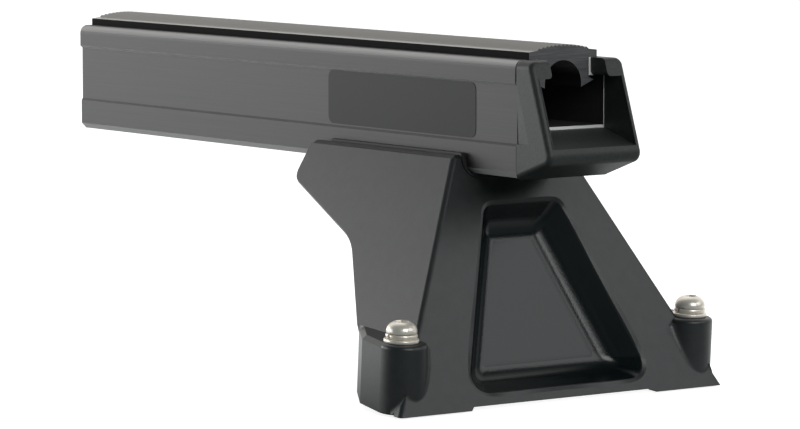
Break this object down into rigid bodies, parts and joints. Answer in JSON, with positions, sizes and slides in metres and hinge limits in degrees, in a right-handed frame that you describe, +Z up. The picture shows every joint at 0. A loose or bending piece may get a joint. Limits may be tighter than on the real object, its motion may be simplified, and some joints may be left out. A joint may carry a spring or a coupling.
{
  "type": "roof rack bar end with leg",
  "caption": "Short slotted roof rack crossbar with a ribbed rubber strip and an open end cap, clamped in a hollow moulded leg with a recessed face and screw feet at its base corners.",
  "frame": {"origin": "on the base plane, midway between the two base screws", "axes": "+X outboard along the bar, +Z up, +Y across the leg"},
  "size_m": [0.2963, 0.1402, 0.1219],
  "materials": {
    "leg_plastic": "fine moulded grain",
    "liner_rubber": "matte",
    "bar_black": "satin black coating",
    "strip_rubber": "ribbed, matte",
    "cap_plastic": "matte grain",
    "stainless": "bright turned",
    "zinc_steel": "zinc plated"
  },
  "bodies": {
    "leg": {"leg": "leg_plastic", "saddle_liner": "liner_rubber", "base_flat_washer_left": "stainless", "base_spring_washer_left": "stainless", "base_screw_left": "stainless", "base_flat_washer_right": "stainless", "base_spring_washer_right": "stainless", "base_screw_right": "stainless", "clamp_flat_washer_outer": "stainless", "clamp_spring_washer_outer": "stainless", "clamp_bolt_outer": "stainless", "clamp_flat_washer_inner": "stainless", "clamp_spring_washer_inner": "stainless", "clamp_bolt_inner": "stainless", "channel_nut_outer": "zinc_steel", "channel_nut_inner": "zinc_steel"},
    "bar": {"crossbar": "bar_black", "rubber_strip": "strip_rubber", "end_cap": "cap_plastic"}
  },
  "joints": [
    {"name": "bar_slide", "type": "slide", "parent": "leg", "child": "bar", "axis": [1, 0, 0], "range_m": [-0.018, 0.15]}
  ]
}
